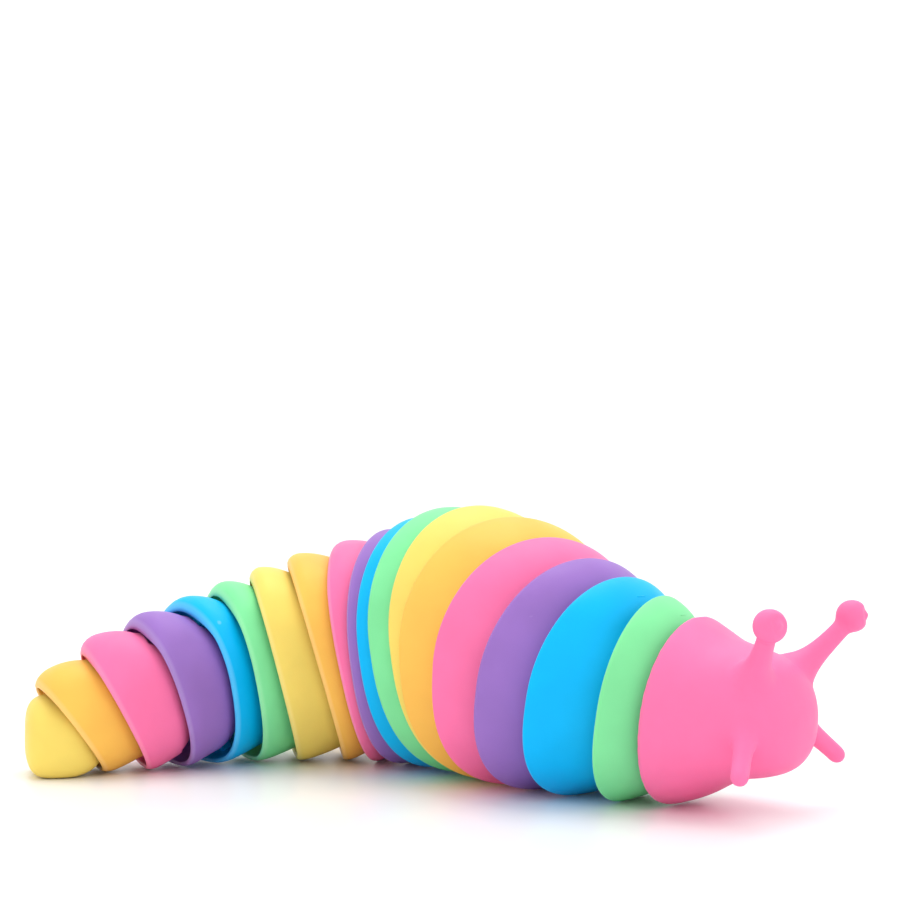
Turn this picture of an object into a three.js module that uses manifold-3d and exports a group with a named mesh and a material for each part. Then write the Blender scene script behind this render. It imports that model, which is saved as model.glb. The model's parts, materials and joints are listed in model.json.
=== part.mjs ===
// Articulated fidget slug: nineteen thin moulded shells that snap together in a row.
// Units are millimetres, +Z is up, the slug rests on z = 0 with its head towards +X.
//
// Every shell is an open cup that flares towards the tail, so that its rear rim overlaps the
// front of the next shell. Inside, each shell has a mast with a round hinge pin, and an arm
// that ends in a C-shaped clip. The clip snaps on the pin of the next shell, so that each
// pair of shells turns about one upright axis. Slots in the front of a shell give room to
// the mast of the shell ahead and stop the turn at the end of its range.
import * as THREE from 'three';
import { mergeVertices } from 'three/addons/utils/BufferGeometryUtils.js';
import Module from 'manifold-3d';

const wasm = await Module();
wasm.setup();

// ---- driving dimensions ----------------------------------------------------------------
const PITCH = 7.8;              // distance between two rims when the slug is straight
const WALL = 1.1;               // wall of a shell
// how far a shell lies inside the rim that covers it, by rim number
const RIM_STEP = [[1, 3.2], [5, 3.5], [8, 2.9], [18, 2.5]];
const TUCK = 1.4;               // extra draw-in of the hidden front edge
const LIP = 0.8;                // rounding of the rim's outer edge
const INNER_LIP = 0.4;          // rounding of its inner edge
const FOOT_CUT = 0.3;           // depth of the flat that each rim stands on
const TOP_POWER = 2.0;          // superellipse power of the upper half of a section
const BELLY_POWER = 2.6;        // the same for the lower half, which is flatter
const MAX_TURN = 16;            // degrees that a joint turns to either side of straight

// outer height and width of the body and lean of its rims, by rim number (1 is the head's rim)
const BODY_HEIGHT = [
  [1, 30.5], [4, 39], [7, 47.5], [10, 42.2], [14, 32.4], [16, 27.2], [17, 22.6], [18, 16.4],
];
const BODY_WIDTH = [[1, 29.2], [4, 42.5], [7, 45.4], [10, 43], [14, 31.2], [18, 21.2]];
const RIM_LEAN = [[1, -8], [4, -11], [7, 11], [10, 8], [12, 16], [15, 11], [17, 28], [18, 36]];

// hinge: a pin of the shell behind in a C-shaped clip of the shell in front. Joint 1 is behind
// the head, and the last joints sit lower because the tail is low.
const HINGE_HEIGHT = [[1, 11.5], [15, 11.5], [16, 11], [17, 9.6], [18, 8.2]];
const PIN_RADIUS = 1.2;
const CLIP_BORE = 1.45;
const CLIP_RADIUS = 2.4;
const CLIP_HEIGHT = 4;
const CLIP_MOUTH = 40;          // degrees, half of the clip's open angle
const YOKE_GAP = 0.4;           // free space between a clip and what is around it
const YOKE_THICKNESS = 1.6;
const STRUT = 2.0;              // thickness of the mast along the body
const MAST_FORWARD = PITCH / 2; // mast in front of its own rim, halfway to the next one
const SLOT_START = PITCH + 0.8; // the mast slot begins just under the covering rim
const SLOT_HALF_WIDTH = 6.2;

// resting pose: turn of each shell against the one in front of it, in degrees
const REST_TURN = [6.8, -13, -4.6, -7.4, -8, 11.6, 5, 12, 14.5, 14.8, 13, 2.5, 14.8, 14.8, -7.5, -11, 3, -9];
const ROOT = 7;                 // the tallest shell carries the rest
const ROOT_HEADING = 127;       // direction of its tail side in plan, degrees from +X
const ROOT_PLACE = [12.03, 12.48]; // plan position of the middle of its rim

// blunt tail cap, measured from where the next rim would be
const TIP = {
  middle: -6.4, frontLength: 8.4, rearLength: 6, halfWidth: 8.2, height: 14, axisHeight: 7,
  frontBluntness: 0.85, rearBluntness: 0.55, tuck: 2.2, bellyPower: 5,
};
const TIP_RINGS = 9;

// head sections: distance in front of the rim, bottom, top, half width
const HEAD_SECTIONS = [
  [0, LIP - FOOT_CUT, 30.5 - LIP, 14.6 - LIP], [0.3 * LIP, 0.28 * LIP - FOOT_CUT, 30.5 - 0.28 * LIP, 14],
  [LIP, -FOOT_CUT, 30.5, 14.6], [4, 0.9, 29.0, 14.2], [8, 2.6, 27.4, 13.4],
  [12, 4.2, 26, 12.2], [15, 5, 25, 11], [17.8, 6.2, 23.6, 9.6], [19.6, 8, 21.6, 7.4],
  [20.7, 11, 18.6, 4.4],
];
const HEAD_WALL = 1.2;
const HEAD_HOLLOW = 12;         // the head is hollow this far in front of its rim
const EYE = {
  root: [-15, 4.5, 20.5], tip: [-22.5, 13.2, 30.3],
  rootRadius: 2.6, stalkRadius: 1.7, ballRadius: 2.8,
};
const FEELER = { root: [-15, 7, 14.5], tip: [-18.6, 15.4, 7.8], radius: 1.5 };

const COLOURS = {
  pink: '#ff75ad', green: '#82e8a0', blue: '#08b2ee',
  purple: '#9a70b8', orange: '#ffc55c', yellow: '#f6e070',
};
const RAINBOW = ['green', 'blue', 'purple', 'pink', 'orange', 'yellow'];
const SHELL_COUNT = 19;

const SLIVER = 0.02;            // cuts leave no facet thinner than this
const AROUND = 20;              // facets around a shell
const deg = THREE.MathUtils.degToRad;

// ---- solids ----------------------------------------------------------------------------
function toSolid(geometry) {
  const g = geometry.clone();
  g.deleteAttribute('normal');
  g.deleteAttribute('uv');
  const merged = mergeVertices(g, 1e-4);
  return new wasm.Manifold(new wasm.Mesh({
    numProp: 3,
    vertProperties: new Float32Array(merged.attributes.position.array),
    triVerts: new Uint32Array(merged.index.array),
  }));
}

function toGeometry(solid) {
  const mesh = solid.simplify(SLIVER).getMesh();
  const g = new THREE.BufferGeometry();
  g.setAttribute('position', new THREE.BufferAttribute(mesh.vertProperties, 3));
  g.setIndex(new THREE.BufferAttribute(mesh.triVerts, 1));
  g.computeVertexNormals();
  return g;
}

function box(x0, x1, y0, y1, z0, z1) {
  const g = new THREE.BoxGeometry(x1 - x0, y1 - y0, z1 - z0);
  g.translate((x0 + x1) / 2, (y0 + y1) / 2, (z0 + z1) / 2);
  return toSolid(g);
}

// a closed solid through rings of equal length; the first and last ring may be joined
function loft(rings, joined) {
  const n = rings[0].length;
  const points = rings.flat();
  const index = [];
  const spans = joined ? rings.length : rings.length - 1;
  for (let r = 0; r < spans; r += 1) {
    const a = r * n;
    const b = ((r + 1) % rings.length) * n;
    for (let i = 0; i < n; i += 1) {
      const j = (i + 1) % n;
      index.push(a + i, a + j, b + j, a + i, b + j, b + i);
    }
  }
  if (!joined) {
    capEnd(points, index, 0, n, false);
    capEnd(points, index, (rings.length - 1) * n, n, true);
  }
  const g = new THREE.BufferGeometry();
  g.setAttribute('position', new THREE.Float32BufferAttribute(points.flatMap((p) => p.toArray()), 3));
  g.setIndex(index);
  return toSolid(g);
}

function capEnd(points, index, start, n, last) {
  const middle = new THREE.Vector3();
  for (let i = 0; i < n; i += 1) middle.addScaledVector(points[start + i], 1 / n);
  const m = points.push(middle) - 1;
  for (let i = 0; i < n; i += 1) {
    const j = (i + 1) % n;
    if (last) index.push(m, start + i, start + j);
    else index.push(m, start + j, start + i);
  }
}

// ---- outline of the body ---------------------------------------------------------------
// smooth curve through [station, value] pairs
function through(pairs, x) {
  const last = pairs.length - 1;
  let i = 0;
  while (i < last - 1 && x > pairs[i + 1][0]) i += 1;
  const slope = (k) => {
    const a = pairs[Math.max(k - 1, 0)];
    const b = pairs[Math.min(k + 1, last)];
    return (b[1] - a[1]) / (b[0] - a[0]);
  };
  const [x0, y0] = pairs[i];
  const [x1, y1] = pairs[i + 1];
  const w = x1 - x0;
  const t = (x - x0) / w;
  if (t < 0) return y0 + slope(i) * (x - x0);
  if (t > 1) return y1 + slope(i + 1) * (x - x1);
  const h = t * t * (3 - 2 * t);
  return y0 + (y1 - y0) * h
    + slope(i) * w * t * (1 - t) ** 2 - slope(i + 1) * w * t * t * (1 - t);
}

const bodyHeight = (station) => through(BODY_HEIGHT, station);
const rimLean = (station) => deg(through(RIM_LEAN, station));
const halfWidth = (station) => through(BODY_WIDTH, station) / 2;

// ring of points on a section: centre at x, bottom and top height, half width, lean
function ring(x, bottom, top, half, lean, bellyPower = BELLY_POWER, topPower = TOP_POWER) {
  const rise = (top - bottom) / 2 / Math.cos(lean);
  const points = [];
  for (let i = 0; i < AROUND; i += 1) {
    const a = (2 * Math.PI * (i + 0.5)) / AROUND;
    const c = Math.cos(a);
    const s = Math.sin(a);
    const power = 2 / (s < 0 ? bellyPower : topPower);
    const y = half * Math.sign(c) * Math.abs(c) ** power;
    const v = rise * Math.sign(s) * Math.abs(s) ** power;
    points.push(new THREE.Vector3(
      x + v * Math.sin(lean), y, (top + bottom) / 2 + v * Math.cos(lean)));
  }
  return points;
}

// section of shell `number`, `forward` of its rim and `inset` inside the body's outline
function bodyRing(number, forward, inset) {
  const station = number - forward / PITCH;
  return ring(-forward, inset - FOOT_CUT, bodyHeight(station) - inset,
    halfWidth(station) - inset, rimLean(station));
}

function shellDepth(number) {
  return PITCH + halfWidth(number) * Math.sin(deg(MAX_TURN)) + 0.4;
}

// distance of a shell's outer surface from the body's outline, `forward` of its rim: a round
// edge, a straight flare up to the rim that covers it, and a draw-in of the hidden front
function stepAt(number, forward) {
  if (forward < LIP) return LIP - Math.sqrt(LIP * LIP - (LIP - forward) ** 2);
  const hidden = Math.max(0, (forward - PITCH) / (shellDepth(number) - PITCH));
  const flare = through(RIM_STEP, number) * (forward - LIP) / (PITCH - LIP);
  return flare + TUCK * hidden * hidden;
}

// ---- body shell ------------------------------------------------------------------------
function flaredBand(number) {
  const depth = shellDepth(number);
  const rings = [];
  for (const f of [0, 0.3 * LIP, LIP, PITCH, depth]) {
    rings.push(bodyRing(number, f, stepAt(number, f)));
  }
  for (const f of [depth, PITCH, INNER_LIP]) {
    rings.push(bodyRing(number, f, stepAt(number, Math.max(f, LIP)) + WALL));
  }
  return loft(rings.reverse(), true);
}

function mastSlot(number) {
  const lean = rimLean(number - 1);
  const height = bodyHeight(number - 1);
  const g = new THREE.BoxGeometry(3 * PITCH, 2 * SLOT_HALF_WIDTH, 3 * height);
  g.translate(-SLOT_START - 1.5 * PITCH, 0, 0);
  g.rotateY(lean);
  g.translate(0, 0, height / 2);
  return toSolid(g);
}

function aboveFloor(solid) {
  return solid.subtract(box(-99, 99, -99, 99, -9, 0));
}

// ---- hinge -----------------------------------------------------------------------------
// square bar between two points of the middle plane
function strut(x0, z0, x1, z1) {
  const length = Math.hypot(x1 - x0, z1 - z0);
  const g = new THREE.BoxGeometry(STRUT, STRUT, length);
  g.rotateY(Math.atan2(x1 - x0, z1 - z0));
  g.translate((x0 + x1) / 2, 0, (z0 + z1) / 2);
  return toSolid(g);
}

const hingeHeight = (joint) => through(HINGE_HEIGHT, joint);
const yokeInner = CLIP_HEIGHT / 2 + YOKE_GAP;
const yokeReach = yokeInner + YOKE_THICKNESS;

// pin with struts to the roof and, where the rim's lean leaves a floor under it, to the floor
function mast(height, roof, floor) {
  const x = -MAST_FORWARD;
  const g = new THREE.CylinderGeometry(PIN_RADIUS, PIN_RADIUS, 2 * yokeReach, 10);
  g.rotateX(Math.PI / 2);
  g.translate(x, 0, height);
  let solid = toSolid(g);
  solid = solid.add(strut(x, height + yokeReach - STRUT / 2, roof[0], roof[1]));
  if (floor) solid = solid.add(strut(x, height - yokeReach + STRUT / 2, floor[0], floor[1]));
  return solid;
}

// yoke that reaches around the clip ahead, and the arm and clip behind it
function arm(front, rear) {
  const half = PIN_RADIUS;
  const plate = -MAST_FORWARD + CLIP_RADIUS + YOKE_GAP;
  const toClip = PITCH - MAST_FORWARD - (CLIP_RADIUS + CLIP_BORE) / 2;
  const top = [front + yokeInner, front + yokeReach];
  const bottom = [front - yokeReach, front - yokeInner];
  const solid = box(plate, plate + 1.3, -half, half, bottom[0], top[1])
    .add(box(-MAST_FORWARD, plate + 0.2, -half, half, ...top))
    .add(box(-MAST_FORWARD, plate + 0.2, -half, half, ...bottom))
    .add(box(plate + 0.5, toClip, -half, half, rear - CLIP_HEIGHT / 2, rear + CLIP_HEIGHT / 2));
  return solid.add(clip(rear));
}

function clip(height) {
  const mouth = deg(CLIP_MOUTH);
  const shape = new THREE.Shape();
  shape.absarc(0, 0, CLIP_RADIUS, mouth, 2 * Math.PI - mouth, false);
  shape.absarc(0, 0, CLIP_BORE, 2 * Math.PI - mouth, mouth, true);
  shape.closePath();
  const g = new THREE.ExtrudeGeometry(shape, { depth: CLIP_HEIGHT, bevelEnabled: false, curveSegments: 9 });
  g.translate(PITCH - MAST_FORWARD, 0, height - CLIP_HEIGHT / 2);
  return toSolid(g);
}

// where the mast meets the roof and the floor of a leaning shell, inside the wall
function mastEnds(number) {
  const station = number - MAST_FORWARD / PITCH;
  const lean = rimLean(station);
  const height = bodyHeight(station);
  const inset = stepAt(number, MAST_FORWARD) + WALL / 2;
  const along = (z) => -MAST_FORWARD + (z - height / 2) * Math.tan(lean);
  const roofZ = height - inset - 0.1;
  const floorZ = inset + 0.1;
  const floor = through(RIM_LEAN, number) > 13.5 ? null : [along(floorZ) - 0.8, floorZ];
  return [[along(roofZ), roofZ], floor];
}

function bodyShell(number) {
  const band = aboveFloor(flaredBand(number)).subtract(mastSlot(number));
  const [roof, floor] = mastEnds(number);
  return band.add(mast(hingeHeight(number - 1), roof, floor))
    .add(arm(hingeHeight(number - 1), hingeHeight(number)));
}

// ---- tail tip --------------------------------------------------------------------------
// blunt cap: `shrink` moves its surface inwards all round
function tipBody(shrink) {
  const rings = [];
  for (let i = 1; i < TIP_RINGS; i += 1) {
    const a = (Math.PI * i) / TIP_RINGS;
    const ahead = Math.cos(a) > 0;
    const power = ahead ? TIP.frontBluntness : TIP.rearBluntness;
    const length = (ahead ? -TIP.frontLength : TIP.rearLength) - Math.sign(-Math.cos(a)) * shrink;
    const x = TIP.middle + length * Math.abs(Math.cos(a)) ** power;
    const size = Math.sin(a) ** power;
    const bottom = TIP.axisHeight - (TIP.axisHeight + FOOT_CUT - shrink) * size;
    const top = TIP.axisHeight + (TIP.height - TIP.axisHeight - shrink) * size;
    rings.push(ring(x, bottom, top, (TIP.halfWidth - shrink) * size, 0, TIP.bellyPower));
  }
  return loft(rings, false);
}

function tailTip() {
  const front = new THREE.BoxGeometry(40, 60, 90);
  front.translate(-20, 0, 0);
  front.rotateY(rimLean(18));
  front.translate(-PITCH - TIP.tuck, 0, bodyHeight(18) / 2);
  const mastRoom = box(-99, -PITCH - TIP.tuck, -SLOT_HALF_WIDTH, SLOT_HALF_WIDTH, -9, 99)
    .add(box(-99, 1 - PITCH, -SLOT_HALF_WIDTH, SLOT_HALF_WIDTH, TIP.axisHeight, 99));
  const cup = aboveFloor(tipBody(0)).subtract(tipBody(WALL)).subtract(toSolid(front))
    .subtract(mastRoom);
  const x = -MAST_FORWARD;
  return cup.add(mast(hingeHeight(18), [x, TIP.height - WALL / 2], [x, WALL / 2]));
}

// ---- head ------------------------------------------------------------------------------
function headBody(shrink, reach) {
  const rings = [];
  for (const [forward, bottom, top, half] of HEAD_SECTIONS) {
    if (forward > reach) break;
    const lean = rimLean(1) * Math.max(0, 1 - forward / HEAD_SECTIONS[4][0]);
    const x = forward === 0 ? shrink : -forward;       // the hollow runs out through the rim
    rings.push(ring(x, bottom + shrink, top - shrink, half - shrink, lean));
  }
  return loft(rings.reverse(), false);
}

// round bar from `from` towards `to`, thicker at its root
function taperedBar(from, to, rootRadius, tipRadius) {
  const start = new THREE.Vector3(...from);
  const run = new THREE.Vector3(...to).sub(start);
  const g = new THREE.CylinderGeometry(tipRadius, rootRadius, run.length(), 12);
  g.translate(0, run.length() / 2, 0);
  g.applyQuaternion(new THREE.Quaternion().setFromUnitVectors(
    new THREE.Vector3(0, 1, 0), run.clone().normalize()));
  g.translate(start.x, start.y, start.z);
  return toSolid(g);
}

function ball(centre, radius) {
  const g = new THREE.SphereGeometry(radius, 12, 8);
  g.translate(...centre);
  return toSolid(g);
}

function eyeStalk(side) {
  const root = [EYE.root[0], side * EYE.root[1], EYE.root[2]];
  const tip = [EYE.tip[0], side * EYE.tip[1], EYE.tip[2]];
  return taperedBar(root, tip, EYE.rootRadius, EYE.stalkRadius).add(ball(tip, EYE.ballRadius));
}

function feeler(side) {
  const root = [FEELER.root[0], side * FEELER.root[1], FEELER.root[2]];
  const tip = [FEELER.tip[0], side * FEELER.tip[1], FEELER.tip[2]];
  return taperedBar(root, tip, FEELER.radius * 1.1, FEELER.radius).add(ball(tip, FEELER.radius));
}

function head() {
  let solid = aboveFloor(headBody(0, Infinity));
  for (const side of [-1, 1]) solid = solid.add(eyeStalk(side)).add(feeler(side));
  solid = solid.subtract(headBody(HEAD_WALL, HEAD_HOLLOW));
  const [roof, floor] = mastEnds(1);
  return solid.add(mast(hingeHeight(1), [roof[0], roof[1] + 1], [floor[0], floor[1] - 0.2]))
    .add(arm(hingeHeight(1), hingeHeight(1)));
}

// ---- the row of shells -----------------------------------------------------------------
const slug = new THREE.Group();
slug.position.set(ROOT_PLACE[0], ROOT_PLACE[1], 0);
slug.rotation.z = deg(ROOT_HEADING);

function pieceFor(number) {
  if (number === 1) return ['head', 'pink', head()];
  if (number === SHELL_COUNT) return ['tail_tip', 'yellow', tailTip()];
  const colour = RAINBOW[(number - 2) % RAINBOW.length];
  return [`shell_${String(number).padStart(2, '0')}_${colour}`, colour, bodyShell(number)];
}

function addPiece(group, number) {
  const [name, colour, solid] = pieceFor(number);
  const material = new THREE.MeshStandardMaterial({
    color: COLOURS[colour], roughness: 0.5, metalness: 0,
  });
  const mesh = new THREE.Mesh(toGeometry(solid), material);
  mesh.name = name;
  group.add(mesh);
}

// next shell of the row, turned about the pin halfway between the two rims
function hinged(parent, number, step) {
  const hinge = new THREE.Group();
  hinge.position.x = (step * PITCH) / 2;
  const front = Math.min(number, number - step);
  hinge.rotation.z = step * deg(REST_TURN[front - 1]);
  const group = new THREE.Group();
  group.position.x = (step * PITCH) / 2;
  hinge.add(group);
  parent.add(hinge);
  addPiece(group, number);
  return group;
}

addPiece(slug, ROOT);
for (const step of [1, -1]) {
  let parent = slug;
  for (let n = ROOT + step; n >= 1 && n <= SHELL_COUNT; n += step) parent = hinged(parent, n, step);
}

export default slug;
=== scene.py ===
"""Articulated fidget slug: shells, hinges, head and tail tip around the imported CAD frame.

Shapes are worked out in millimetres in each shell's own frame (origin under the middle of its
rear rim, +x towards the tail, +z up) and placed by the frame's own joints. Shells are numbered
from the head, 1, to the tail tip, 19. A station is a place along the body in the same count.
"""
import json
import math

import bmesh
import bpy
from mathutils import Matrix, Vector

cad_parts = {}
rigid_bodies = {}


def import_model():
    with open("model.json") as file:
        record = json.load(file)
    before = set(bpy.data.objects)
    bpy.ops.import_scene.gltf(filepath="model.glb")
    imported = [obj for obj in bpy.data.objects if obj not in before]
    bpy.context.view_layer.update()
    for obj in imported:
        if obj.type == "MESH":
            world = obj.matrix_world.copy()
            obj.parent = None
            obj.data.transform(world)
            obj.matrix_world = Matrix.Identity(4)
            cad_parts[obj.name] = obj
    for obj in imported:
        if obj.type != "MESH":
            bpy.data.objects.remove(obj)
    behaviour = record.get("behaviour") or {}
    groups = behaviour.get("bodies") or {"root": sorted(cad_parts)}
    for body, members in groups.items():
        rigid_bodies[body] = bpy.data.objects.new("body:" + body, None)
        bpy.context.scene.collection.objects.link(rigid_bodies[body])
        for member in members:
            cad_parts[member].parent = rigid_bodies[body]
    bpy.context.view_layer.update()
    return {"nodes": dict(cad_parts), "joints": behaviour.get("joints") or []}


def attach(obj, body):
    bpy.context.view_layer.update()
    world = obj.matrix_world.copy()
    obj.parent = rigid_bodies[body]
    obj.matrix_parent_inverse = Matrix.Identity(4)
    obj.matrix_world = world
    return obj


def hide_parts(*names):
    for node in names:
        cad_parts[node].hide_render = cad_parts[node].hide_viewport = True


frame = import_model()

# ---- shells, in mm; tables are (station, value) pairs ----------------------------------------
# As in the CAD, but with the crown at station 7 a little lower, to stay inside the CAD's box,
# and the steps of the first shells a little deeper, to stay clear of the rims at full bend.
SHELL_COUNT = 19
LAST_BAND = SHELL_COUNT - 1      # the shell that the tail tip sits in
PITCH = 7.8
WALL = 1.1
RIM_STEP = [(1, 3.4), (5, 3.75), (8, 2.9), (18, 2.5)]   # from a rim in to the shell it covers
TUCK = 1.4                      # further step of the hidden front edge
FLARE_POWER = 1.15              # 1 would be a cone
DOME = 1.0                      # how much fuller than that the crown of a shell is
CROWN_STEP = 0.4                # extra step under the covering rim there
CROWN_SINES = (0.55, 0.98)      # the crown starts and is full at these sines of the angle
FOOT_CUT = 0.3                  # sections reach this far below the floor and are cut flat
TOP_POWER = 2.0
BELLY_POWER = 2.6
MAX_TURN = 16                   # degrees a shell has to stay covered for
COVER_SPARE = 0.4
BODY_HEIGHT = [(1, 30.5), (4, 39), (7, 47.2), (10, 42.2), (14, 32.4), (16, 27.2), (17, 22.6),
               (18, 16.4)]
BODY_WIDTH = [(1, 29.2), (4, 42.5), (7, 45.4), (10, 43), (14, 31.2), (18, 21.2)]
RIM_LEAN = [(1, -8), (4, -11), (7, 11), (10, 8), (12, 16), (15, 11), (17, 28), (18, 36)]

# rounding of the rim's outer edge: length along the body, and depth at the sides and the crown
LIP_LENGTH = [(1, 0.7), (9, 0.9), (11, 2.2), (13, 3.0), (18, 3.0)]
LIP_DEPTH = 0.6
CROWN_LIP = [(1, 0.6), (9, 0.6), (11, 1.6), (14, 2.1), (17, 2.1), (18, 1.2)]
LIP_ROWS = (0, 0.05, 0.16, 0.32, 0.55, 0.78, 1.0)   # fractions of its length
# rounding of its inner edge: distance in front of the rim, and how far it opens
MOUTH_FORWARD, MOUTH_FLARE = 0.08, 0.15

AROUND = 144                    # points around a section
SKIN_ROWS = 8                   # rows from the lip to the next rim
HIDDEN_ROWS = 4                 # rows from there to the front edge
LINING = (PITCH, 5.5, 3, 1.2, 0.5, 0.35)    # rows of the inside, in front of the rim
RIM_HIGHLIGHT_ROWS = 3                   # rows of the skin along the rim that get the painted highlight

# ---- hinges, in mm ---------------------------------------------------------------------------
HINGE_HEIGHT = [(1, 11.5), (15, 11.5), (16, 11), (17, 9.6), (18, 8.2)]
PIN_RADIUS = 1.2
PIN_SIDES = 32
CLIP_BORE = 1.45
CLIP_RADIUS = 2.4
CLIP_HEIGHT = 4
CLIP_MOUTH = 40                 # degrees to either side that the clip is open
CLIP_ROWS = 28
YOKE_GAP = 0.4
YOKE_THICKNESS = 1.6
YOKE_INNER = CLIP_HEIGHT / 2 + YOKE_GAP
YOKE_REACH = YOKE_INNER + YOKE_THICKNESS
PLATE_THICKNESS = 1.3           # upright plate that joins the yoke to the arm
YOKE_OVERLAP, ARM_OVERLAP = 0.2, 0.5
STRUT = 2.0                     # width of the mast's two struts
STRUT_SUNK = 0.1                # past the middle of the wall
FLOOR_STRUT_AHEAD = 0.8
MAST_FORWARD = PITCH / 2
NO_FLOOR_LEAN = 13.5            # shells that lean more have no strut to the floor
HINGE_BEVEL = 0.16
# slot in a shell's front edge for the mast of the shell ahead
SLOT_START = PITCH + 0.8
SLOT_HALF_WIDTH = [(2, 7.8), (4, 6.3), (18, 6.2)]
SLOT_CORNER = 1.2

# ---- head and tail tip, in mm ----------------------------------------------------------------
# head: distance in front of the rim, bottom, top, half width
HEAD = [(0, -0.3, 30.5, 14.6), (4, 1.4, 28.8, 14.1), (8, 3.9, 27, 13.2), (12, 5.2, 25.8, 12.2),
        (15, 5.7, 25, 11), (17.8, 6.6, 23.6, 9.6), (19.6, 8.2, 21.6, 7.4), (20.7, 11, 18.6, 4.4),
        (21.1, 13.6, 16, 1.6)]
HEAD_BELLY_POWER = 2.3
HEAD_AROUND = 96
HEAD_ROWS, HOLLOW_ROWS = 40, 14
HEAD_WALL = 1.2
HEAD_HOLLOW = 12                # depth of the hollow
HEAD_MOUTH = 0.3                # where its first row is
HEAD_LEAN_REACH = 8             # the rim's lean fades over this distance
LEAST_HALF_WIDTH = 0.2
HEAD_VOXEL = 0.3
HEAD_SMOOTHING = 20
# bars on the head: skin and fillet are fractions of the length, bow is the sag half way
STALK = dict(root=(-13, 3.5, 18.5), tip=(-22.5, 13.2, 30.3), root_radius=3.5, radius=1.45,
             skin=0.34, fillet=0.15, bow=0.7)
FEELER = dict(root=(-14.5, 6, 15), tip=(-18.6, 15.4, 7.8), root_radius=2.4, radius=1.45,
              skin=0.35, fillet=0.14, bow=-0.3)
BAR_ROWS, BAR_SIDES = 30, 28
EYE_BALL = 2.65
EYE_LOOK = (-0.9, 0.35, 0.1)    # direction of the eye at +y
# flat on the eye and raised spot on it: depth and radius; nothing moves beyond the reach
EYE_FLAT, EYE_SPOT = (0.45, 1.5), (0.4, 0.75)
EYE_REACH = 2.6

TIP = dict(middle=-6.4, front=8.4, rear=5.95, half=8.2, height=14, axis=7,
           front_power=0.85, rear_power=0.55, tuck=2.2, belly_power=5)
TIP_ROWS = 40

# ---- colours ---------------------------------------------------------------------------------
COLOURS = {                     # plastic colours, linear
    "pink": (1.0, 0.19, 0.418), "green": (0.23, 0.8, 0.352), "blue": (0.0, 0.5, 0.97),
    "purple": (0.33, 0.172, 0.545), "orange": (1.0, 0.55, 0.1), "yellow": (0.92, 0.7, 0.15),
}
HEAD_COLOUR, TIP_COLOUR = "pink", "yellow"
RAINBOW = ("green", "blue", "purple", "pink", "orange", "yellow")
FLECKED_SHELLS = (4, 15)
FLECKS = {"purple": 0.55, "blue": 0.7}


# ---- outline of the body ---------------------------------------------------------------------
def through(pairs, x):
    """Smooth curve through (station, value) pairs."""
    last = len(pairs) - 1
    i = 0
    while i < last - 1 and x > pairs[i + 1][0]:
        i += 1

    def slope(k):
        a, b = pairs[max(k - 1, 0)], pairs[min(k + 1, last)]
        return (b[1] - a[1]) / (b[0] - a[0])

    (x0, y0), (x1, y1) = pairs[i], pairs[i + 1]
    w = x1 - x0
    t = (x - x0) / w
    if t < 0:
        return y0 + slope(i) * (x - x0)
    if t > 1:
        return y1 + slope(i + 1) * (x - x1)
    h = t * t * (3 - 2 * t)
    return (y0 + (y1 - y0) * h + slope(i) * w * t * (1 - t) ** 2
            - slope(i + 1) * w * t * t * (1 - t))


def smoothstep(low, high, x):
    t = min(max((x - low) / (high - low), 0), 1)
    return t * t * (3 - 2 * t)


def body_height(station):
    return through(BODY_HEIGHT, station)


def half_width(station):
    return through(BODY_WIDTH, station) / 2


def rim_lean(station):
    return math.radians(through(RIM_LEAN, station))


def section_point(x, bottom, top, half, lean, angle, belly=BELLY_POWER):
    """Point of a leaning section: rounder above its middle, squarer below, cut at the floor."""
    rise = (top - bottom) / 2 / math.cos(lean)
    c, s = math.cos(angle), math.sin(angle)
    power = 2 / (belly if s < 0 else TOP_POWER)
    y = half * math.copysign(abs(c) ** power, c)
    v = rise * math.copysign(abs(s) ** power, s)
    z = (top + bottom) / 2 + v * math.cos(lean)
    return Vector((x + v * math.sin(lean), y, max(z, 0)))


def angles(count=AROUND):
    return [2 * math.pi * (i + 0.5) / count for i in range(count)]


def shell_depth(number):
    """Length of a shell with its hidden front part, which still covers at full turn."""
    return PITCH + half_width(number) * math.sin(math.radians(MAX_TURN)) + COVER_SPARE


def crown(angle):
    """1 along the top of a shell, 0 at its sides and below."""
    return smoothstep(*CROWN_SINES, math.sin(angle))


def lip_depth(number, angle):
    return LIP_DEPTH + (through(CROWN_LIP, number) - LIP_DEPTH) * crown(angle)


def lip_inset(number, forward, angle):
    length = through(LIP_LENGTH, number)
    curve = 1 - math.sqrt(1 - (1 - forward / length) ** 2) if forward < length else 0
    return lip_depth(number, angle) * curve


def step_at(number, forward, angle):
    """How far the outside lies within the body's outline: rounded rim, dome, hidden tuck."""
    hidden = max(0, (forward - PITCH) / (shell_depth(number) - PITCH))
    t = forward / PITCH
    if t < 1:
        t **= FLARE_POWER + DOME * crown(angle)
    step = through(RIM_STEP, number) + CROWN_STEP * crown(angle)
    return lip_inset(number, forward, angle) + step * t + TUCK * hidden * hidden


def lining_at(number, forward, angle):
    """The same for the inside, which follows the rounded rim less far."""
    depth = lip_depth(number, angle)
    rounding = lip_inset(number, forward, angle) * (1 - LIP_DEPTH / depth)
    skin = step_at(number, forward, angle) - lip_inset(number, forward, angle)
    return skin + rounding + WALL


# ---- meshes ----------------------------------------------------------------------------------
def new_object(name, bm):
    mesh = bpy.data.meshes.new(name)
    bm.normal_update()
    bm.to_mesh(mesh)
    bm.free()
    obj = bpy.data.objects.new(name, mesh)
    bpy.context.scene.collection.objects.link(obj)
    for p in mesh.polygons:
        p.use_smooth = True
    return obj


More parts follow.
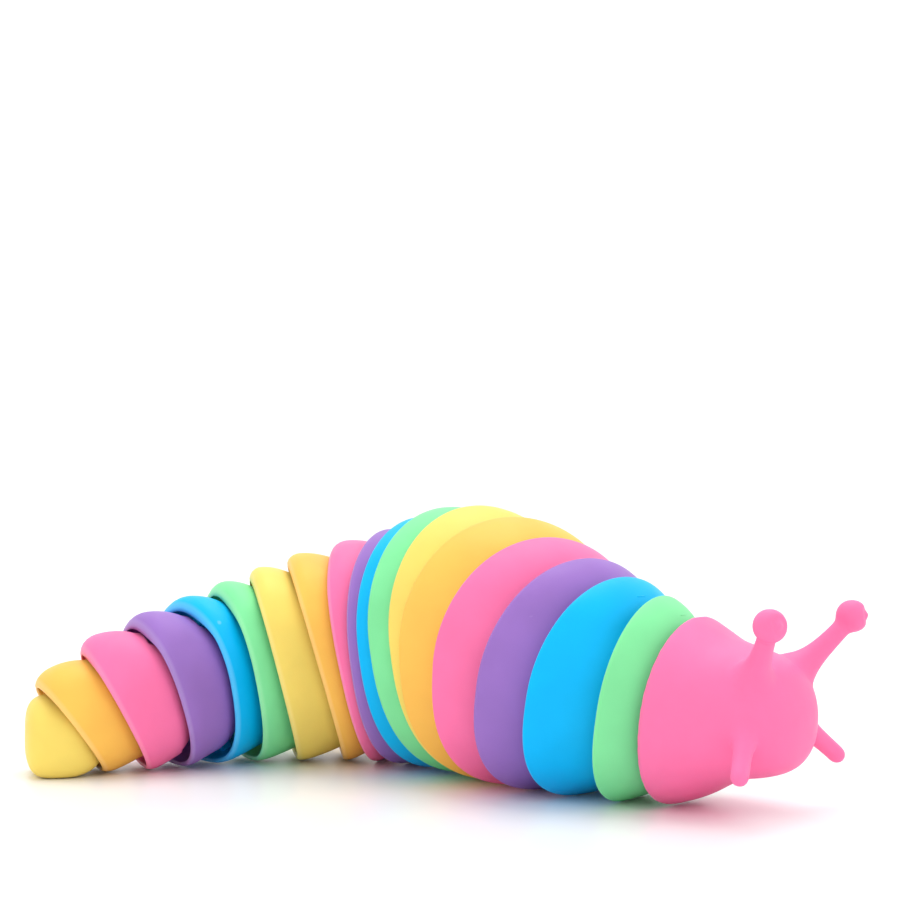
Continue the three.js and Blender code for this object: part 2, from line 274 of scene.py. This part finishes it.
def add_loft(bm, rings, joined):
    """Quads through rings of equal length; ends get a fan unless the last ring meets the first."""
    rows = [[bm.verts.new(p) for p in ring] for ring in rings]
    n = len(rings[0])
    spans = len(rows) if joined else len(rows) - 1
    for r in range(spans):
        a, b = rows[r], rows[(r + 1) % len(rows)]
        for i in range(n):
            j = (i + 1) % n
            bm.faces.new((a[i], a[j], b[j], b[i]))
    if joined:
        return
    for row in (rows[0], rows[-1]):
        middle = bm.verts.new(sum((v.co for v in row), Vector()) / n)
        for i in range(n):
            bm.faces.new((row[i], row[(i + 1) % n], middle))


def outward(bm):
    bmesh.ops.recalc_face_normals(bm, faces=bm.faces)


def modify(obj, kind, **settings):
    """Adds one modifier and applies it to the mesh."""
    modifier = obj.modifiers.new(kind.lower(), kind)
    for key, value in settings.items():
        setattr(modifier, key, value)
    graph = bpy.context.evaluated_depsgraph_get()
    mesh = bpy.data.meshes.new_from_object(obj.evaluated_get(graph))
    obj.modifiers.clear()
    old, obj.data = obj.data, mesh
    mesh.name = obj.name
    bpy.data.meshes.remove(old)
    for p in mesh.polygons:
        p.use_smooth = True
    return obj


# ---- shell -----------------------------------------------------------------------------------
def shell_mesh(number):
    """Flared band: rounded rim, smooth flare, hidden front edge with a slot for the mast ahead."""
    depth, lip = shell_depth(number), through(LIP_LENGTH, number)
    slot = through(SLOT_HALF_WIDTH, number)

    def point(forward, inset, angle):
        station = number - forward / PITCH
        return section_point(-forward, inset - FOOT_CUT, body_height(station) - inset,
                             half_width(station) - inset, rim_lean(station), angle)

    def reach(angle):
        y = abs(half_width(number) * math.cos(angle))
        return SLOT_START + (depth - SLOT_START) * smoothstep(slot, slot + SLOT_CORNER, y)

    def hidden(share, angle):
        forward = PITCH + (reach(angle) - PITCH) * share
        return point(forward, step_at(number, forward, angle), angle)

    outer = [lip * share for share in LIP_ROWS]
    outer += [lip + (PITCH - lip) * k / SKIN_ROWS for k in range(1, SKIN_ROWS + 1)]
    rings = [[point(f, step_at(number, f, a), a) for a in angles()] for f in outer]
    for k in range(1, HIDDEN_ROWS + 1):
        rings.append([hidden(k / HIDDEN_ROWS, a) for a in angles()])
    rings.append([point(reach(a), step_at(number, reach(a), a) + WALL, a) for a in angles()])
    for f in LINING:
        rings.append([point(f, lining_at(number, f, a), a) for a in angles()])
    rings.append([point(MOUTH_FORWARD, lining_at(number, MOUTH_FORWARD, a) - MOUTH_FLARE, a)
                  for a in angles()])
    bm = bmesh.new()
    add_loft(bm, rings, True)
    outward(bm)
    return bm


def shell_object(name, number):
    """The shell with the point attribute "edge" on its rim, a painted highlight that draws the
    plastic paler there.
    """
    obj = new_object(name + "_shell", shell_mesh(number))
    count = len(obj.data.vertices)
    edge = obj.data.attributes.new("edge", "FLOAT", "POINT").data
    # painted highlight: the rim's first rows and the ring at its mouth are drawn paler
    for i in (*range(RIM_HIGHLIGHT_ROWS * AROUND), *range(count - AROUND, count)):
        edge[i].value = RIM_HIGHLIGHT_SHARE
    return obj


# ---- hinge -----------------------------------------------------------------------------------
def add_box(bm, x0, x1, y0, y1, z0, z1, turn=0.0):
    size = Matrix.Diagonal((x1 - x0, y1 - y0, z1 - z0, 1))
    place = Matrix.Translation(((x0 + x1) / 2, (y0 + y1) / 2, (z0 + z1) / 2))
    bmesh.ops.create_cube(bm, size=1, matrix=place @ Matrix.Rotation(turn, 4, "Y") @ size)


def add_strut(bm, x0, z0, x1, z1):
    length = math.hypot(x1 - x0, z1 - z0)
    cx, cz, h = (x0 + x1) / 2, (z0 + z1) / 2, STRUT / 2
    add_box(bm, cx - h, cx + h, -h, h, cz - length / 2, cz + length / 2,
            math.atan2(x1 - x0, z1 - z0))


def add_mast(bm, height, roof, floor):
    """Pin with a strut up to the roof and, unless floor is None, one down to the floor."""
    x = -MAST_FORWARD
    bmesh.ops.create_cone(bm, cap_ends=True, segments=PIN_SIDES, radius1=PIN_RADIUS,
                          radius2=PIN_RADIUS, depth=2 * YOKE_REACH,
                          matrix=Matrix.Translation((x, 0, height)))
    add_strut(bm, x, height + YOKE_REACH - STRUT / 2, *roof)
    if floor:
        add_strut(bm, x, height - YOKE_REACH + STRUT / 2, *floor)


def add_arm(bm, front, rear):
    """Yoke around the mast at height front, and an arm from it to the clip at height rear."""
    half = PIN_RADIUS
    plate = -MAST_FORWARD + CLIP_RADIUS + YOKE_GAP
    to_clip = PITCH - MAST_FORWARD - (CLIP_RADIUS + CLIP_BORE) / 2
    add_box(bm, plate, plate + PLATE_THICKNESS, -half, half, front - YOKE_REACH,
            front + YOKE_REACH)
    for z0, z1 in ((YOKE_INNER, YOKE_REACH), (-YOKE_REACH, -YOKE_INNER)):
        add_box(bm, -MAST_FORWARD, plate + YOKE_OVERLAP, -half, half, front + z0, front + z1)
    add_box(bm, plate + ARM_OVERLAP, to_clip, -half, half, rear - CLIP_HEIGHT / 2,
            rear + CLIP_HEIGHT / 2)
    add_clip(bm, rear)


def add_clip(bm, height):
    """C-shaped clip that is open towards the tail."""
    x = PITCH - MAST_FORWARD
    mouth = math.radians(CLIP_MOUTH)
    corners = ((CLIP_BORE, -0.5), (CLIP_RADIUS, -0.5), (CLIP_RADIUS, 0.5), (CLIP_BORE, 0.5))
    rings = []
    for k in range(CLIP_ROWS + 1):
        a = mouth + (2 * math.pi - 2 * mouth) * k / CLIP_ROWS
        rings.append([Vector((x + r * math.cos(a), r * math.sin(a), height + z * CLIP_HEIGHT))
                      for r, z in corners])
    add_loft(bm, rings, False)


def hinge_height(joint):
    return through(HINGE_HEIGHT, joint)


def mast_ends(number):
    """Where the mast meets the roof and the floor, as (x, z), or None for no floor strut."""
    station = number - MAST_FORWARD / PITCH
    lean, height = rim_lean(station), body_height(station)
    under_roof, over_floor = (step_at(number, MAST_FORWARD, a) + WALL / 2 + STRUT_SUNK
                              for a in (math.pi / 2, -math.pi / 2))

    def along(z):
        return -MAST_FORWARD + (z - height / 2) * math.tan(lean)

    roof, floor = height - under_roof, over_floor
    upright = through(RIM_LEAN, number) <= NO_FLOOR_LEAN
    floor_end = (along(floor) - FLOOR_STRUT_AHEAD, floor) if upright else None
    return (along(roof), roof), floor_end


def hinge_object(name, number):
    bm = bmesh.new()
    if number == SHELL_COUNT:
        x = -MAST_FORWARD
        add_mast(bm, hinge_height(LAST_BAND), (x, TIP["height"] - WALL / 2), (x, WALL / 2))
    else:
        front = hinge_height(max(number - 1, 1))
        add_mast(bm, front, *mast_ends(number))
        add_arm(bm, front, hinge_height(number))
    outward(bm)
    obj = new_object(name + "_hinge", bm)
    return modify(obj, "BEVEL", width=HINGE_BEVEL, segments=2, limit_method="ANGLE",
                  angle_limit=0.8)


# ---- head ------------------------------------------------------------------------------------
def head_ring(forward, shrink, lip):
    rows = [[(r[0], r[k]) for r in HEAD] for k in (1, 2, 3)]
    bottom, top, half = (through(column, forward) for column in rows)
    inset = shrink + (lip_inset(1, forward, 0) if lip else 0)
    lean = rim_lean(1) * max(0, 1 - forward / HEAD_LEAN_REACH)
    half = max(half - inset, LEAST_HALF_WIDTH)
    return [section_point(-forward, bottom + inset, top - inset, half, lean, a,
                          belly=HEAD_BELLY_POWER) for a in angles(HEAD_AROUND)]


def add_tube(bm, points, radii):
    """Closed round tube along a row of points."""
    rings = []
    for k, p in enumerate(points):
        ahead = points[min(k + 1, len(points) - 1)] - points[max(k - 1, 0)]
        turn = ahead.to_track_quat("Z", "Y")
        rings.append([p + turn @ Vector((radii[k] * math.cos(a), radii[k] * math.sin(a), 0))
                      for a in angles(BAR_SIDES)])
    add_loft(bm, rings, False)


def on_side(place, side):
    return Vector((place[0], side * place[1], place[2]))


def add_bar(bm, side, bar, end_radius):
    """Bar with a ball at its end: wide up to the head's skin, then narrowing in a fillet."""
    root, tip = on_side(bar["root"], side), on_side(bar["tip"], side)
    points, radii = [], []
    for k in range(BAR_ROWS + 1):
        t = k / BAR_ROWS
        points.append(root.lerp(tip, t) - Vector((0, 0, bar["bow"] * 4 * t * (1 - t))))
        narrowing = math.exp(-max(0, t - bar["skin"]) / bar["fillet"])
        radii.append(bar["radius"] + (bar["root_radius"] - bar["radius"]) * narrowing)
    add_tube(bm, points, radii)
    bmesh.ops.create_icosphere(bm, subdivisions=4, radius=end_radius,
                               matrix=Matrix.Translation(tip))


def head_object(name):
    """Hollow head with its stalks and feelers, melted into one skin."""
    reach = HEAD[-1][0]
    edge = through(LIP_LENGTH, 1)
    nose = [reach * math.sin(math.pi / 2 * k / HEAD_ROWS) for k in range(HEAD_ROWS + 1)]
    outer = [edge * share for share in LIP_ROWS] + [f for f in nose if f > edge]
    inner = [HEAD_HOLLOW * k / HOLLOW_ROWS for k in range(HOLLOW_ROWS, 0, -1)] + [HEAD_MOUTH]
    rings = [head_ring(f, HEAD_WALL, False) for f in inner]
    rings += [head_ring(f, 0, True) for f in outer]
    bm = bmesh.new()
    add_loft(bm, rings, False)
    for side in (-1, 1):
        add_bar(bm, side, STALK, EYE_BALL)
        add_bar(bm, side, FEELER, FEELER["radius"])
    outward(bm)
    obj = new_object(name + "_body", bm)
    modify(obj, "REMESH", mode="VOXEL", voxel_size=HEAD_VOXEL)
    modify(obj, "SMOOTH", factor=0.5, iterations=HEAD_SMOOTHING)
    shape_eyes(obj)
    return obj


def shape_eyes(obj):
    """Flattened front with a raised spot in each eye ball."""
    flat_depth, flat_radius = EYE_FLAT
    spot_height, spot_radius = EYE_SPOT
    for side in (-1, 1):
        front = on_side(EYE_LOOK, side).normalized()
        pole = on_side(STALK["tip"], side) + EYE_BALL * front
        for v in obj.data.vertices:
            r = (v.co - pole).length
            if r < EYE_REACH:
                v.co -= (flat_depth * math.exp(-(r / flat_radius) ** 4)
                         - spot_height * math.exp(-(r / spot_radius) ** 2)) * front


# ---- tail tip --------------------------------------------------------------------------------
def tip_rings(shrink):
    rings = []
    for i in range(1, TIP_ROWS):
        a = math.pi * i / TIP_ROWS
        ahead = math.cos(a) > 0
        power = TIP["front_power"] if ahead else TIP["rear_power"]
        length = -(TIP["front"] - shrink) if ahead else TIP["rear"] - shrink
        x = TIP["middle"] + length * abs(math.cos(a)) ** power
        size = math.sin(a) ** power
        bottom = TIP["axis"] - (TIP["axis"] + FOOT_CUT - shrink) * size
        top = TIP["axis"] + (TIP["height"] - TIP["axis"] - shrink) * size
        rings.append([section_point(x, bottom, top, (TIP["half"] - shrink) * size, 0, angle,
                                    belly=TIP["belly_power"]) for angle in angles()])
    return rings


def cut_cup(shrink):
    """Blunt cap without the part in front of the leaning cut, as a mesh that is open there."""
    bm = bmesh.new()
    add_loft(bm, tip_rings(shrink), False)
    lean = rim_lean(LAST_BAND)
    normal = Vector((-math.cos(lean), 0, math.sin(lean)))
    where = Vector((-PITCH - TIP["tuck"], 0, body_height(LAST_BAND) / 2))
    bmesh.ops.bisect_plane(bm, geom=bm.verts[:] + bm.edges[:] + bm.faces[:], dist=1e-5,
                           plane_co=where, plane_no=normal, clear_outer=True)
    return bm


def tip_object(name):
    """Outer and inner cup, joined along the cut."""
    bm = cut_cup(0)
    inside = cut_cup(WALL)
    mesh = bpy.data.meshes.new("inside")
    inside.to_mesh(mesh)
    inside.free()
    bm.from_mesh(mesh)
    bpy.data.meshes.remove(mesh)
    bmesh.ops.bridge_loops(bm, edges=[e for e in bm.edges if e.is_boundary])
    outward(bm)
    return new_object(name + "_cap", bm)


# ---- placing the pieces ----------------------------------------------------------------------
def row_number(name):
    if name == "head":
        return 1
    return SHELL_COUNT if name == "tail_tip" else int(name.split("_")[1])


def joints_in_row():
    """Pivot points from head to tail in mm, and the turn at rest of each joint in degrees."""
    nodes = sorted(frame["nodes"], key=row_number)
    pivots, turns = [], []
    for front, rear in zip(nodes, nodes[1:]):
        joint = next(j for j in frame["joints"] if {j["parent"], j["child"]} == {front, rear})
        middle = sum(joint["range_deg"]) / 2
        pivots.append(Vector(joint["pos_m"][:2] + [0]) * 1000)
        turns.append(-middle if joint["parent"] == front else middle)
    return nodes, pivots, turns


NODES, PIVOTS, TURNS = joints_in_row()


def heading(number):
    """Direction of a shell's +x in the row; the pivots before and after it give it."""
    if number == 1:
        return heading(2) - math.radians(TURNS[0])
    if number == SHELL_COUNT:
        return heading(SHELL_COUNT - 1) + math.radians(TURNS[-1])
    along = PIVOTS[number - 1] - PIVOTS[number - 2]
    return math.atan2(along.y, along.x)


def placing(number):
    """From the shell's own frame in mm to the row frame in metres."""
    angle = heading(number)
    ahead = Vector((math.cos(angle), math.sin(angle), 0)) * PITCH / 2
    origin = PIVOTS[number - 1] - ahead if number < SHELL_COUNT else PIVOTS[-1] + ahead
    return (Matrix.Scale(0.001, 4) @ Matrix.Translation(origin) @ Matrix.Rotation(angle, 4, "Z"))


# ---- plastic: noise scales are per metre, because object coordinates are in metres -----------
MOTTLE_SCALE, SHEEN_SCALE, SKIN_SCALE = 90, 260, 2600
FLECK_SCALE, FLECK_PATCH_SCALE = 210, 160
ROUGHNESS = (0.40, 0.50)
DEEP, HIGHLIGHT_AND_FLECK_PALE = 0.93, 0.16         # mottles this much darker; painted rim highlights and flecks this much nearer white
RIM_HIGHLIGHT_SHARE = 0.5                # how much of the painted highlight a rim's edge gets


def mixed(tree, factor, a, b):
    """A colour Mix node; factor, a and b are sockets or values. Returns its result socket."""
    node = tree.nodes.new("ShaderNodeMix")
    node.data_type = "RGBA"
    node.blend_type = "MIX"
    for index, value in ((0, factor), (6, a), (7, b)):
        if isinstance(value, bpy.types.NodeSocket):
            tree.links.new(value, node.inputs[index])
        else:
            node.inputs[index].default_value = value
    return node.outputs[2]


def noise(tree, where, scale, detail=2.0, rough=0.5):
    node = tree.nodes.new("ShaderNodeTexNoise")
    node.inputs["Scale"].default_value = scale
    node.inputs["Detail"].default_value = detail
    node.inputs["Roughness"].default_value = rough
    tree.links.new(where, node.inputs["Vector"])
    return node.outputs["Fac"]


def ranged(tree, value, low, high, to_low, to_high):
    node = tree.nodes.new("ShaderNodeMapRange")
    tree.links.new(value, node.inputs["Value"])
    for key, number in (("From Min", low), ("From Max", high), ("To Min", to_low),
                        ("To Max", to_high)):
        node.inputs[key].default_value = number
    return node.outputs["Result"]


def flecks(tree, where, strength):
    """Small pale specks in patches, as a factor."""
    spots = tree.nodes.new("ShaderNodeTexVoronoi")
    spots.inputs["Scale"].default_value = FLECK_SCALE
    tree.links.new(where, spots.inputs["Vector"])
    near = ranged(tree, spots.outputs["Distance"], 0.05, 0.11, 1, 0)
    chosen = ranged(tree, noise(tree, where, FLECK_PATCH_SCALE, 1), 0.60, 0.64, 0, strength)
    amount = tree.nodes.new("ShaderNodeMath")
    amount.operation = "MULTIPLY"
    tree.links.new(near, amount.inputs[0])
    tree.links.new(chosen, amount.inputs[1])
    return amount.outputs[0]


def plastic(name, colour, fleck=0.0):
    """Satin moulded plastic: waxy, with faint mottling, a fine skin and a painted highlight on the
    rim edges.
    """
    material = bpy.data.materials.new(name)
    material.use_nodes = True
    tree = material.node_tree
    shader = tree.nodes["Principled BSDF"]
    where = tree.nodes.new("ShaderNodeTexCoord").outputs["Object"]
    edge = tree.nodes.new("ShaderNodeAttribute")
    edge.attribute_name = "edge"
    highlight_and_fleck_pale = [c + (1 - c) * HIGHLIGHT_AND_FLECK_PALE for c in colour] + [1]
    deep = [c * DEEP for c in colour] + [1]
    mottle = ranged(tree, noise(tree, where, MOTTLE_SCALE, 3), 0.35, 0.65, 0, 1)
    base = mixed(tree, mottle, deep, list(colour) + [1])
    # painted highlight along the rim edges, from the "edge" attribute
    base = mixed(tree, edge.outputs["Fac"], base, highlight_and_fleck_pale)
    if fleck:
        base = mixed(tree, flecks(tree, where, fleck), base, highlight_and_fleck_pale)
    tree.links.new(base, shader.inputs["Base Color"])
    tree.links.new(ranged(tree, noise(tree, where, SHEEN_SCALE, 3), 0.3, 0.7, *ROUGHNESS),
                   shader.inputs["Roughness"])
    shader.inputs["Specular IOR Level"].default_value = 0.15
    shader.inputs["Subsurface Weight"].default_value = 0.12
    shader.inputs["Subsurface Radius"].default_value = (1.0, 0.7, 0.6)
    shader.inputs["Subsurface Scale"].default_value = 0.0015
    bump = tree.nodes.new("ShaderNodeBump")
    bump.inputs["Strength"].default_value = 0.12
    bump.inputs["Distance"].default_value = 0.0001
    tree.links.new(noise(tree, where, SKIN_SCALE, 2, 0.6), bump.inputs["Height"])
    tree.links.new(bump.outputs["Normal"], shader.inputs["Normal"])
    return material


PLASTICS = {key: plastic("plastic_" + key, value) for key, value in COLOURS.items()}
for key, strength in FLECKS.items():
    PLASTICS[key + "_flecked"] = plastic(f"plastic_{key}_flecked", COLOURS[key], strength)


def plastic_for(number):
    if number == 1:
        return PLASTICS[HEAD_COLOUR]
    if number == SHELL_COUNT:
        return PLASTICS[TIP_COLOUR]
    colour = RAINBOW[(number - 2) % len(RAINBOW)]
    return PLASTICS[colour + "_flecked" if number in FLECKED_SHELLS else colour]


# ---- the slug --------------------------------------------------------------------------------
def build(number):
    """Skin and hinge of one shell; the skin stands for the CAD node."""
    name = NODES[number - 1]
    if number == 1:
        skin = head_object(name)
    elif number == SHELL_COUNT:
        skin = tip_object(name)
    else:
        skin = shell_object(name, number)
    hinge = hinge_object(name, number)
    place = placing(number)
    for piece in (skin, hinge):
        piece.data.transform(place)
        piece.data.materials.append(plastic_for(number))
        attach(piece, name)
    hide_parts(name)


for n in range(1, SHELL_COUNT + 1):
    build(n)


# ---- floor, light and camera, in metres ------------------------------------------------------
FLOOR_SIZE = 40                 # half its side
FLOOR_DROP = 0.0001             # below the soles, so that the two don't lie in one plane
FLOOR_WHITE = (0.91, 0.91, 0.91, 1)
ROOM_STRENGTH = 1.2
KEY_PLACE, KEY_SIZE, KEY_POWER = (0.05, 0.3, 0.9), 0.7, 3
CAMERA_PLACE = (0.00388, -0.34115, 0.05325)
CAMERA_TURN = (90.61, 0, -0.11)     # degrees
CAMERA_LENS, CAMERA_SENSOR = 79.6, 36


def white_floor():
    bm = bmesh.new()
    bmesh.ops.create_grid(bm, x_segments=1, y_segments=1, size=FLOOR_SIZE)
    floor = new_object("floor", bm)
    floor.location.z = -FLOOR_DROP
    material = bpy.data.materials.new("floor_white")
    material.use_nodes = True
    tree = material.node_tree
    shader = tree.nodes["Principled BSDF"]
    where = tree.nodes.new("ShaderNodeTexCoord").outputs["Object"]
    tree.links.new(ranged(tree, noise(tree, where, 30), 0.3, 0.7, 0.30, 0.36),
                   shader.inputs["Roughness"])
    shader.inputs["Base Color"].default_value = FLOOR_WHITE
    shader.inputs["Specular IOR Level"].default_value = 0.4
    floor.data.materials.append(material)


def key_light():
    light = bpy.data.lights.new("key", "AREA")
    light.shape = "DISK"
    light.size = KEY_SIZE
    light.energy = KEY_POWER
    obj = bpy.data.objects.new("key", light)
    obj.location = KEY_PLACE
    obj.rotation_euler = (-Vector(KEY_PLACE)).to_track_quat("-Z", "Y").to_euler()
    bpy.context.scene.collection.objects.link(obj)


def white_room():
    world = bpy.data.worlds.new("room")
    bpy.context.scene.world = world
    world.use_nodes = True
    world.node_tree.nodes["Background"].inputs["Color"].default_value = (1, 1, 1, 1)
    world.node_tree.nodes["Background"].inputs["Strength"].default_value = ROOM_STRENGTH
    bpy.context.scene.view_settings.view_transform = "Standard"


def camera():
    data = bpy.data.cameras.new("camera")
    data.lens = CAMERA_LENS
    data.sensor_width = CAMERA_SENSOR
    data.clip_start = 0.01
    obj = bpy.data.objects.new("camera", data)
    obj.location = CAMERA_PLACE
    obj.rotation_euler = [math.radians(turn) for turn in CAMERA_TURN]
    bpy.context.scene.collection.objects.link(obj)
    bpy.context.scene.camera = obj


white_floor()
white_room()
key_light()
camera()
